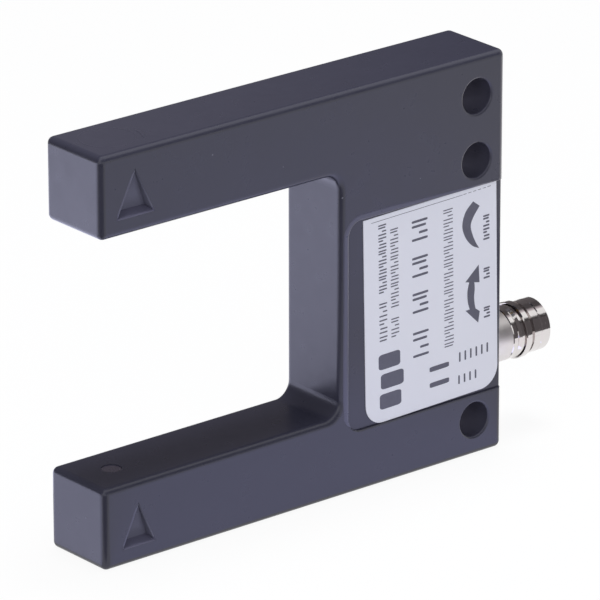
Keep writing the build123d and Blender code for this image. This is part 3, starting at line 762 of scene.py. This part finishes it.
class FORK_OT_housing(bpy.types.Operator):
    """Coats the housing, its back cover and its two plugs"""

    bl_idname = "fork.housing"
    bl_label = "Housing coat"

    def execute(self, context):
        look = context.scene.fork_coat
        # Powder-coated die-cast zinc: a satin violet black whose skin is faintly uneven, as flowed powder is.
        # Its grain is finer than the picture shows, so it is drawn at 0.4 mm and very shallow.
        coat, tree, shader, place, colour = finish(
            "powder_coated_zinc",
            look.colour,
            look.roughness,
            mottle=(5.0, 0.06),
            haze=(2.0, 0.03),
            relief=((2.4, 0.004), (0.4, 0.0004)),
            IOR=1.5,
        )
        # Painted light: each beam mark's floor lighter towards its base (its dust colour), its ledge lighter,
        # and the bores lighter deeper in
        pocket_light_colours = {"apex_painted_light": "#4F4F5E", "dust": "#727284", "ledge_painted_light": "#605F73", "bore_painted_light": "#6C6A7C"}
        painted_pocket_light(tree, shader, place, colour, **{name: tint(code) for name, code in pocket_light_colours.items()})
        wear(coat, "housing", "receiver_plug", "emitter_plug")
        rolled = {
            "recess_lip": bead("recess_lip", recess_stations(), RECESS_LIP),
            "seam_bridge": bead(
                "seam_bridge", plug_stations(PLUG_RADIUS, 0, 360, 96, False), SEAM_BRIDGE, True
            ),
            "plug_smear": bead("plug_smear", plug_stations(SMEAR_RADIUS, -42, 6, 16, True), SMEAR),
            "low_mark_lip": bead("low_mark_lip", mark_stations(*MARKS[0]), MARK_LIP),
            "high_mark_lip": bead("high_mark_lip", mark_stations(*MARKS[1]), MARK_LIP),
        }
        # The same powder painted paler on the lips, a painted highlight
        edge, *_ = finish(
            "powder_coat_thinned_on_edges",
            tuple(min(1.0, c * LIP_HIGHLIGHT_PALENESS) for c in look.colour[:3]) + (1.0,),
            look.roughness,
            mottle=(2.0, 0.06),
            haze=(2.0, 0.03),
            relief=((2.4, 0.004),),
            IOR=1.5,
        )
        # The lips take the paler coat, a painted highlight; the seam bridge and the smear take the plain coat
        for name, mesh in rolled.items():
            new_piece(name, mesh, edge if name.endswith("lip") else coat)
        # Coated sheet steel: the same powder on a flatter sheet, so its skin is quieter
        sheet, *_ = finish(
            "powder_coated_sheet_steel",
            look.colour,
            look.roughness + 0.03,
            mottle=(7.0, 0.05),
            haze=(3.0, 0.03),
            relief=((1.2, 0.003), (0.25, 0.001)),
            IOR=1.5,
        )
        wear(sheet, "back_cover")
        return {"FINISHED"}


class FORK_OT_label(bpy.types.Operator):
    """Gives the label its film"""

    bl_idname = "fork.label"
    bl_label = "Label film"

    def execute(self, context):
        # Metallised polyester film under a matt topcoat: cool silver white with a slow, weak gleam
        film, *_ = finish(
            "silver_polyester_film",
            context.scene.fork_label.film,
            0.42,
            mottle=(9.0, 0.02),
            haze=(4.0, 0.04),
            relief=((3.0, 0.003), (0.3, 0.0006)),
            IOR=1.5,
        )
        wear(film, "label")
        return {"FINISHED"}


class FORK_OT_label_print(bpy.types.Operator):
    """Prints plain blocks and the two setting symbols on the label"""

    bl_idname = "fork.label_print"
    bl_label = "Label print"

    def execute(self, context):
        look = context.scene.fork_label
        # Thermal-transfer resin ink: dense blue grey, a touch duller than the film, thin at its edges
        ink, *_ = finish(
            "resin_ink", look.ink, 0.5, mottle=(0.6, 0.1), haze=(0.5, 0.06), relief=((0.2, 0.0006),)
        )
        tree = block_tree()
        place = on_label()
        high = look.ink_height / MM
        for name, blocks, corner in (
            ("label_blocks", column_blocks(), 0.16),
            ("label_cut_line", cut_line_blocks(), 0.1),
        ):
            mesh = grown(
                name,
                [(u, v, 0) for u, v, _, _ in blocks],
                "block_size",
                [(wide, tall, 1) for _, _, wide, tall in blocks],
                tree,
                {"Ink Height": high, "Sunk": INK_SUNK, "Corner": corner, "Ink": ink},
            )
            mesh.transform(place)
            new_piece(name, mesh, ink)
        sweep = slab(smooth_line(SWEEP_OUTER)[:-1] + smooth_line(SWEEP_INNER), -INK_SUNK, high)
        arrow = [
            *ARROW_UP[1:], *smooth_line(ARROW_INNER), *ARROW_DOWN, *smooth_line(ARROW_OUTER), ARROW_UP[0]
        ]
        for name, mesh in (("label_sweep", sweep), ("label_arrow", slab(arrow, -INK_SUNK, high))):
            mesh.transform(place)
            new_piece(name, mesh, ink)
        return {"FINISHED"}


class FORK_OT_optics(bpy.types.Operator):
    """Finishes the lenses, their holders and the light-emitting and light-receiving diodes"""

    bl_idname = "fork.optics"
    bl_label = "Optics"

    def execute(self, context):
        # Moulded polycarbonate that passes infrared: a dark violet pane with a clean, bright skin
        pane, *_ = finish(
            "infrared_polycarbonate",
            tint("#5A5464"),
            0.12,
            mottle=(1.0, 0.03),
            haze=(0.8, 0.03),
            relief=((0.8, 0.0008),),
            IOR=1.586,
            **{"Transmission Weight": 0.35},
        )
        wear(pane, "receiver_lens", "emitter_lens")
        # Moulded ABS: soft black with the fine spark texture of its tool
        holder, *_ = finish(
            "black_abs", tint("#1E1E20"), 0.55, mottle=(2.0, 0.08), relief=((0.15, 0.002),), IOR=1.53
        )
        wear(holder, "receiver_holder", "emitter_holder")
        # Cast clear epoxy with a trace of blue: glassy and slightly uneven
        clear, *_ = finish(
            "clear_epoxy",
            tint("#DCE4EE"),
            0.08,
            mottle=(1.0, 0.02),
            haze=(0.8, 0.03),
            relief=((1.0, 0.001),),
            IOR=1.55,
            **{"Transmission Weight": 0.85},
        )
        wear(clear, "emitter_led")
        # Filter epoxy that blocks daylight: near black with a glossy moulded skin
        dark, *_ = finish(
            "daylight_filter_epoxy",
            tint("#1A141C"),
            0.14,
            mottle=(1.0, 0.1),
            relief=((0.8, 0.001),),
            IOR=1.55,
        )
        wear(dark, "receiver_photodiode")
        return {"FINISHED"}


class FORK_OT_electronics(bpy.types.Operator):
    """Finishes the boards and what is soldered to them"""

    bl_idname = "fork.electronics"
    bl_label = "Electronics"

    def execute(self, context):
        # Glass-epoxy laminate under green solder mask: glossy, with the copper runs as paler lines beneath it
        board, tree, shader, place, colour = finish(
            "green_solder_mask",
            tint("#14572F"),
            0.28,
            mottle=(2.0, 0.08),
            haze=(1.0, 0.05),
            relief=((0.4, 0.001),),
        )
        flat = add(tree, "ShaderNodeMapping", {"Vector": place, "Rotation": (math.radians(90), 0, 0)})
        runs = add(
            tree,
            "ShaderNodeTexBrick",
            {
                "Vector": flat.outputs[0],
                "Color1": (0, 0, 0, 1),
                "Color2": (0, 0, 0, 1),
                "Mortar": (1, 1, 1, 1),
                "Scale": 1.0,
                "Mortar Size": 0.16 * MM,
                "Mortar Smooth": 0.1,
                "Brick Width": 3.1 * MM,
                "Row Height": 0.9 * MM,
            },
        )
        traced = add(
            tree, "ShaderNodeMix", {0: runs.outputs["Fac"], 6: colour, 7: tint("#2C7A46")}, data_type="RGBA"
        )
        tree.links.new(traced.outputs[2], shader.inputs["Base Color"])
        wear(board, "main_board", "receiver_board", "emitter_board")
        # Moulding compound of a chip package: fine, dull, blue black
        chip, *_ = finish(
            "moulding_compound", tint("#1D1F22"), 0.6, mottle=(0.5, 0.12), relief=((0.08, 0.002),)
        )
        wear(chip, "controller_chip", "output_driver")
        # Drawn aluminium can: bright and slightly brushed along its height
        can, *_ = finish(
            "drawn_aluminium", tint("#C3C5C8"), 0.3, 1.0, mottle=(0.8, 0.05), relief=((0.2, 0.0008),)
        )
        wear(can, "board_capacitors")
        # Glazed thick-film resistor: black glaze with a soft edge
        glaze, *_ = finish(
            "glazed_alumina", tint("#232325"), 0.25, mottle=(0.5, 0.15), relief=((0.3, 0.001),)
        )
        wear(glaze, "board_resistors")
        # PVC wire insulation: warm red, waxy, gently dented
        cover, *_ = finish("pvc_insulation", tint("#9C2A22"), 0.4, mottle=(1.5, 0.08), relief=((0.6, 0.004),))
        wear(cover, "receiver_leads", "emitter_leads")
        # Zinc-plated steel screw: cool silver with turning marks
        steel, tree, shader, place, _ = finish(
            "zinc_plated_steel", tint("#B9BCC0"), 0.32, 1.0, mottle=(1.0, 0.06)
        )
        rings(tree, shader, place, 0.2, 0.001)
        wear(steel, "board_screws")
        return {"FINISHED"}


class FORK_OT_adjusters(bpy.types.Operator):
    """Finishes the two adjusters and the status light"""

    bl_idname = "fork.adjusters"
    bl_label = "Adjusters and status light"

    def execute(self, context):
        # Moulded polyamide trimmer body: muted blue, satin
        body, *_ = finish(
            "blue_polyamide", tint("#27457E"), 0.42, mottle=(1.0, 0.06), relief=((0.2, 0.002),), IOR=1.53
        )
        wear(body, "mode_trimmer", "sensitivity_trimmer")
        # Turned brass: warm and bright, with the rings the tool left
        brass, tree, shader, place, _ = finish(
            "turned_brass", tint("#C8A667"), 0.24, 1.0, mottle=(0.8, 0.06), haze=(0.5, 0.05)
        )
        rings(tree, shader, place, 0.12, 0.0012)
        wear(brass, "mode_spindle", "sensitivity_spindle")
        # Amber epoxy of a small light-emitting diode
        amber, *_ = finish(
            "amber_epoxy",
            tint("#E0992C"),
            0.15,
            mottle=(0.8, 0.04),
            relief=((0.8, 0.001),),
            IOR=1.55,
            **{"Transmission Weight": 0.6},
        )
        wear(amber, "status_led")
        # Clear polycarbonate light guide: water clear with a slightly frosted end
        guide, *_ = finish(
            "clear_polycarbonate",
            tint("#E9EAE6"),
            0.16,
            mottle=(0.8, 0.02),
            relief=((0.3, 0.0015),),
            IOR=1.586,
            **{"Transmission Weight": 0.8},
        )
        wear(guide, "status_window")
        return {"FINISHED"}


class FORK_OT_connector(bpy.types.Operator):
    """Finishes the plug connector, its nut, seal, insert and pins"""

    bl_idname = "fork.connector"
    bl_label = "Plug connector"

    def execute(self, context):
        look = context.scene.fork_connector
        # Bright nickel on turned brass: a warm mirror with faint rings from the lathe
        nickel, tree, shader, place, _ = finish(
            "bright_nickel_on_brass", look.plate, look.roughness, 1.0, mottle=(1.2, 0.04), haze=(0.7, 0.03)
        )
        rings(tree, shader, place, 0.16, 0.0006)
        # The collar was left satin from the bar, so its reflections blur
        along = add(tree, "ShaderNodeSeparateXYZ", {0: place}).outputs[0]
        satin = add(
            tree, "ShaderNodeMapRange", {0: along, 1: SATIN_END - 0.1 * MM, 2: SATIN_END, 3: 0.34, 4: 0.0}
        )
        gloss = shader.inputs["Roughness"].links[0].from_socket
        total = add(tree, "ShaderNodeMath", {0: gloss, 1: satin.outputs[0]}, operation="ADD")
        tree.links.new(total.outputs[0], shader.inputs["Roughness"])
        wear(nickel, "connector_shell", "connector_nut")
        # Nitrile rubber: deep black, matt, with a soft bloom
        rubber, *_ = finish(
            "nitrile_rubber", tint("#191919"), 0.7, mottle=(0.8, 0.15), relief=((0.2, 0.003),)
        )
        wear(rubber, "connector_seal")
        # Glass-filled nylon: black with the pale flow of its fibres
        nylon, *_ = finish(
            "glass_filled_nylon", tint("#1C1C1E"), 0.5, mottle=(0.4, 0.2), relief=((0.12, 0.002),)
        )
        wear(nylon, "connector_insert")
        # Gold flash on copper alloy pins: rich yellow, nearly a mirror
        gold, *_ = finish("gold_flash", tint("#E0B457"), 0.18, 1.0, mottle=(0.5, 0.04), haze=(0.4, 0.05))
        wear(gold, "contact_pins")
        return {"FINISHED"}


class FORK_OT_dust(bpy.types.Operator):
    """Drops a few flecks of lint on the coat"""

    bl_idname = "fork.dust"
    bl_label = "Lint"

    def execute(self, context):
        look = context.scene.fork_dust
        # Cotton lint: soft off-white fibre dust
        lint, *_ = finish("cotton_lint", tint("#7C7C8A"), 0.9, mottle=(0.1, 0.1), relief=((0.05, 0.01),))
        mesh = grown(
            "lint_specks",
            [tuple(c * MM for c in place) for place, _ in SPECKS],
            "facing",
            [facing for _, facing in SPECKS],
            speck_tree(),
            {"Fleck Size": look.size, "Seed": look.seed, "Lint": lint},
        )
        new_piece("lint_specks", mesh, lint)
        return {"FINISHED"}


class FORK_OT_studio(bpy.types.Operator):
    """Builds the floor, the lights, the cards and the camera"""

    bl_idname = "fork.studio"
    bl_label = "Studio"

    def execute(self, context):
        look = context.scene.fork_studio
        scene = context.scene
        scene.view_settings.view_transform = "Standard"
        self.floor()
        self.world(scene, look.fill)
        middle = (CAD_LOW + CAD_HIGH) / 2
        for name, place, size, setting in SOFTBOXES:
            self.softbox(name, place, size, getattr(look, setting), middle)
        for card in CARDS:
            self.card(*card)
        self.camera(scene, look.lens)
        return {"FINISHED"}

    def shown(self, tree):
        """One for the rays that show the white background: from the camera, off gloss and through glass."""
        path = add(tree, "ShaderNodeLightPath")
        seen = path.outputs["Is Camera Ray"]
        for ray in ("Is Glossy Ray", "Is Transmission Ray"):
            seen = add(
                tree, "ShaderNodeMath", {0: seen, 1: path.outputs[ray]}, operation="MAXIMUM"
            ).outputs[0]
        return seen

    def floor(self):
        mesh = bpy.data.meshes.new("floor")
        side = 1.5
        mesh.from_pydata(
            [(-side, -side, 0), (side, -side, 0), (side, side, 0), (-side, side, 0)], [], [(0, 1, 2, 3)]
        )
        # Matt white paper, shown as white with a share of its own grey left, so that the shadow stays
        paper = bpy.data.materials.new("white_paper")
        paper.cycles.emission_sampling = "NONE"
        paper.use_nodes = True
        tree = paper.node_tree
        tree.nodes.clear()
        share = add(tree, "ShaderNodeMath", {0: self.shown(tree), 1: 0.86}, operation="MULTIPLY")
        matt = add(tree, "ShaderNodeBsdfDiffuse", {"Color": tint("#A8A8AA")})
        white = add(tree, "ShaderNodeEmission", {"Color": (1, 1, 1, 1), "Strength": 1.08})
        mixed = add(
            tree, "ShaderNodeMixShader", {0: share.outputs[0], 1: matt.outputs[0], 2: white.outputs[0]}
        )
        add(tree, "ShaderNodeOutputMaterial", {"Surface": mixed.outputs[0]})
        floor = bpy.data.objects.new("floor", mesh)
        floor.data.materials.append(paper)
        bpy.context.scene.collection.objects.link(floor)

    def world(self, scene, fill):
        world = bpy.data.worlds.new("studio")
        scene.world = world
        world.use_nodes = True
        tree = world.node_tree
        tree.nodes.clear()
        around = add(tree, "ShaderNodeBackground", {"Color": (0.93, 0.95, 1.0, 1), "Strength": fill})
        white = add(tree, "ShaderNodeBackground", {"Color": (1, 1, 1, 1), "Strength": 1.0})
        mixed = add(
            tree, "ShaderNodeMixShader", {0: self.shown(tree), 1: around.outputs[0], 2: white.outputs[0]}
        )
        add(tree, "ShaderNodeOutputWorld", {"Surface": mixed.outputs[0]})

    def softbox(self, name, place, size, power, target):
        lamp = bpy.data.lights.new(name, "AREA")
        lamp.shape = "SQUARE"
        lamp.size = size
        lamp.energy = power
        holder = bpy.data.objects.new(name, lamp)
        holder.location = Vector(place) * MM
        holder.rotation_euler = (target - holder.location).to_track_quat("-Z", "Y").to_euler()
        holder.visible_glossy = False
        bpy.context.scene.collection.objects.link(holder)

    def card(self, name, corners, levels, colour, one_sided=False):
        """A flat card with a level of light at each corner. A one-sided card is clear from behind.

        Reflections find it by themselves, so it isn't sampled as a lamp, which keeps the coat free of noise.
        """
        mesh = bpy.data.meshes.new(name)
        mesh.from_pydata([Vector(c) * MM for c in corners], [], [(0, 1, 2, 3)])
        mesh.attributes.new("level", "FLOAT", "POINT").data.foreach_set("value", levels)
        sheet = bpy.data.materials.new(name)
        sheet.cycles.emission_sampling = "NONE"
        sheet.use_nodes = True
        tree = sheet.node_tree
        tree.nodes.clear()
        level = add(tree, "ShaderNodeAttribute", attribute_name="level").outputs["Fac"]
        skin = add(tree, "ShaderNodeEmission", {"Color": (*colour, 1), "Strength": level})
        if one_sided:
            behind = add(tree, "ShaderNodeNewGeometry").outputs["Backfacing"]
            clear = add(tree, "ShaderNodeBsdfTransparent")
            skin = add(tree, "ShaderNodeMixShader", {0: behind, 1: skin.outputs[0], 2: clear.outputs[0]})
        add(tree, "ShaderNodeOutputMaterial", {"Surface": skin.outputs[0]})
        card = bpy.data.objects.new(name, mesh)
        card.data.materials.append(sheet)
        card.visible_camera = False
        card.visible_diffuse = False
        card.visible_transmission = False
        card.visible_shadow = False
        bpy.context.scene.collection.objects.link(card)

    def camera(self, scene, lens):
        data = bpy.data.cameras.new("camera")
        data.lens = lens
        data.sensor_width = 36.0
        data.clip_start = 0.01
        camera = bpy.data.objects.new("camera", data)
        turn = Matrix.Rotation(math.radians(CAMERA_TURN), 4, "Z")
        dip = Matrix.Rotation(math.pi / 2 - math.radians(CAMERA_DIP), 4, "X")
        lean = Matrix.Rotation(math.radians(CAMERA_LEAN), 4, "Z")
        camera.matrix_world = Matrix.Translation(Vector(CAMERA_PLACE) * MM) @ turn @ dip @ lean
        scene.collection.objects.link(camera)
        scene.camera = camera


class FORK_PT_panel(bpy.types.Panel):
    """Lists what dresses the fork sensor"""

    bl_idname = "FORK_PT_panel"
    bl_label = "Fork sensor"
    bl_space_type = "VIEW_3D"
    bl_region_type = "UI"
    bl_category = "Fork sensor"

    def draw(self, context):
        for operator in OPERATORS:
            self.layout.operator(operator.bl_idname)
        for group in GROUPS:
            settings = getattr(context.scene, group)
            box = self.layout.box()
            for name in GROUPS[group].__annotations__:
                box.prop(settings, name)


GROUPS = {
    "fork_coat": CoatSettings,
    "fork_label": LabelSettings,
    "fork_connector": ConnectorSettings,
    "fork_dust": DustSettings,
    "fork_studio": StudioSettings,
}
OPERATORS = (
    FORK_OT_studio,
    FORK_OT_housing,
    FORK_OT_label,
    FORK_OT_label_print,
    FORK_OT_optics,
    FORK_OT_electronics,
    FORK_OT_adjusters,
    FORK_OT_connector,
    FORK_OT_dust,
)


def register():
    for kind in (*GROUPS.values(), *OPERATORS, FORK_PT_panel):
        bpy.utils.register_class(kind)
    for name, kind in GROUPS.items():
        setattr(bpy.types.Scene, name, bpy.props.PointerProperty(type=kind))


def unregister():
    for name in GROUPS:
        delattr(bpy.types.Scene, name)
    for kind in (FORK_PT_panel, *reversed(OPERATORS), *reversed(list(GROUPS.values()))):
        bpy.utils.unregister_class(kind)


def main():
    register()
    bpy.ops.fork.studio()
    bpy.ops.fork.housing()
    bpy.ops.fork.label()
    bpy.ops.fork.label_print()
    bpy.ops.fork.optics()
    bpy.ops.fork.electronics()
    bpy.ops.fork.adjusters()
    bpy.ops.fork.connector()
    bpy.ops.fork.dust()


if __name__ == "__main__":
    main()
